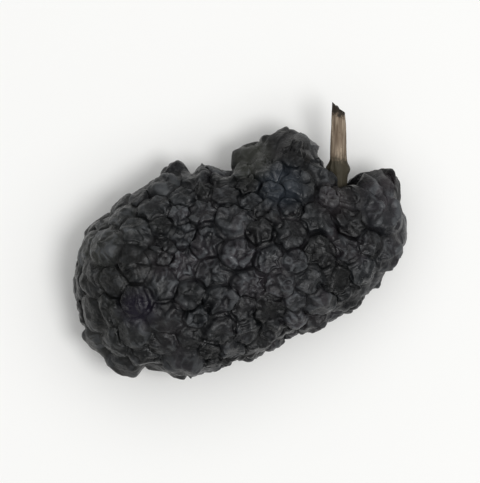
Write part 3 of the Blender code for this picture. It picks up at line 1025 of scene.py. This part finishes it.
def fruit_material():
    """Nearly black dried skin: blue-black with other colours in patches, a dusty bloom, painted highlight
    on the crests and tops, and painted shade in the valleys and creases.
    """
    paint = Paint("fruit")
    lift, hollow, shade = paint.form()
    broad = paint.noise(*BROAD_NOISE)
    patchy = paint.noise(*PATCH_NOISE)
    fine = paint.noise(*FINE_NOISE)
    tint = paint.layer(SKIN_COLOUR, broad, *PURPLE_SKIN)
    tint = paint.layer(tint, paint.place("X"), *OLIVE_END)
    tint = paint.patch(tint, *UNDER_PATCH)
    # Painted shade, darker in the valleys.
    tint = paint.layer(tint, hollow, *VALLEY_PAINTED_SHADE)
    # Painted highlight, paler on the crests.
    tint = paint.layer(tint, hollow, *CREST_PAINTED_HIGHLIGHT)
    # Painted shade, darker towards the creases.
    tint = paint.layer(tint, lift, *CREASE_PAINTED_SHADE)
    # Dusty bloom mixed with painted highlight, in patches on the crests and tops.
    dust_and_highlight = paint.span(patchy, *DUST_AND_HIGHLIGHT_PATCHES)
    for value, span in ((hollow, DUST_AND_HIGHLIGHT_HOLLOWS), (lift, DUST_AND_HIGHLIGHT_LIFTS), (fine, DUST_AND_HIGHLIGHT_GRAINS)):
        dust_and_highlight = paint.math("MULTIPLY", dust_and_highlight, paint.span(value, *span))
    tint = paint.blend(paint.math("MULTIPLY", dust_and_highlight, DUST_AND_HIGHLIGHT_SHARE), tint, DUST_AND_HIGHLIGHT_COLOUR)
    level = paint.math("MULTIPLY", paint.span(shade, *SHADE_LEVELS), paint.span(broad, *BROAD_LEVELS))
    tint = paint.scaled(tint, level)
    for patch in PATCHES:
        tint = paint.patch(tint, *patch)
    rough = paint.math("ADD", paint.span(patchy, *SKIN_ROUGHNESS), paint.span(fine, *GRAIN_ROUGHNESS))
    grain = paint.math("MULTIPLY", paint.noise(*GRAIN_NOISE), SKIN_GRAIN)
    paint.bump(paint.math("ADD", grain, fine), SKIN_BUMP)
    return paint.finished(tint, rough, SKIN_SPECULAR)


def stalk_material():
    """Dry tan stem with darker grooves, brown at its foot and its broken tip."""
    paint = Paint("stalk")
    share, groove, _ = paint.form()
    streak = paint.noise(*STREAK_NOISE)
    speck = paint.noise(*SPECK_NOISE)
    tint = paint.layer(STALK_COLOUR, streak, *PALE_STREAKS)
    tint = paint.layer(tint, speck, *BROWN_SPECKS)
    tint = paint.blend(paint.math("MULTIPLY", groove, GROOVE_SHARE), tint, GROOVE_COLOUR)
    uneven = paint.math("ADD", share, paint.span(speck, *FOOT_WOBBLE))
    tint = paint.layer(tint, uneven, *DARK_FOOT)
    tint = paint.layer(tint, uneven, *DARK_TIP)
    paint.bump(paint.math("ADD", streak, speck), STALK_BUMP)
    return paint.finished(tint, paint.span(streak, *STALK_ROUGHNESS), STALK_SPECULAR)


def floor_material():
    paint = Paint("floor")
    darker = [FLOOR_SHADE * part for part in FLOOR_COLOUR]
    tint = paint.blend(paint.span(paint.noise(*FLOOR_NOISE), *FLOOR_CLOUDS), FLOOR_COLOUR, darker)
    return paint.finished(tint, FLOOR_ROUGHNESS, FLOOR_SPECULAR)


def make_floor():
    half = FLOOR_SIZE / 2
    corners = [(-half, -half, 0), (half, -half, 0), (half, half, 0), (-half, half, 0)]
    data = bpy.data.meshes.new("floor")
    data.from_pydata(corners, [], [(0, 1, 2, 3)])
    return placed_object("floor", data, floor_material())


def make_light(name, place, size, power):
    """A soft round light that faces the fruit."""
    light = bpy.data.lights.new(name, "AREA")
    light.shape = "DISK"
    light.size = size
    light.energy = power
    obj = bpy.data.objects.new(name, light)
    obj.location = place
    obj.rotation_euler = Vector(place).to_track_quat("Z", "Y").to_euler()
    bpy.context.scene.collection.objects.link(obj)


def make_sky():
    world = bpy.data.worlds.new("sky")
    world.use_nodes = True
    sky = world.node_tree.nodes["Background"]
    sky.inputs["Color"].default_value = SKY_COLOUR
    sky.inputs["Strength"].default_value = SKY_STRENGTH
    bpy.context.scene.world = world


def make_camera():
    """Straight above the berry, as the photograph was taken, with +Y up in the picture."""
    data = bpy.data.cameras.new("camera")
    data.sensor_width = SENSOR
    data.lens = SENSOR * (CAMERA_HEIGHT - FRAME_LEVEL) / FRAME_WIDTH
    data.clip_start, data.clip_end = CLIPPING
    camera = bpy.data.objects.new("camera", data)
    camera.location = (0, 0, CAMERA_HEIGHT)
    bpy.context.scene.collection.objects.link(camera)
    bpy.context.scene.camera = camera


def main():
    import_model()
    net = Net()
    detail = Detail(net)
    fruit = make_fruit(net, detail, fruit_material())
    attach(fruit, "root")
    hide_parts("fruit")
    stalk = make_stalk(net, stalk_material())
    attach(stalk, "root")
    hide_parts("stalk")
    make_floor()
    make_sky()
    make_light("sky light", *SKY_LIGHT)
    make_light("lamp", *LAMP)
    make_camera()
    bpy.context.scene.view_settings.view_transform = "Standard"


main()
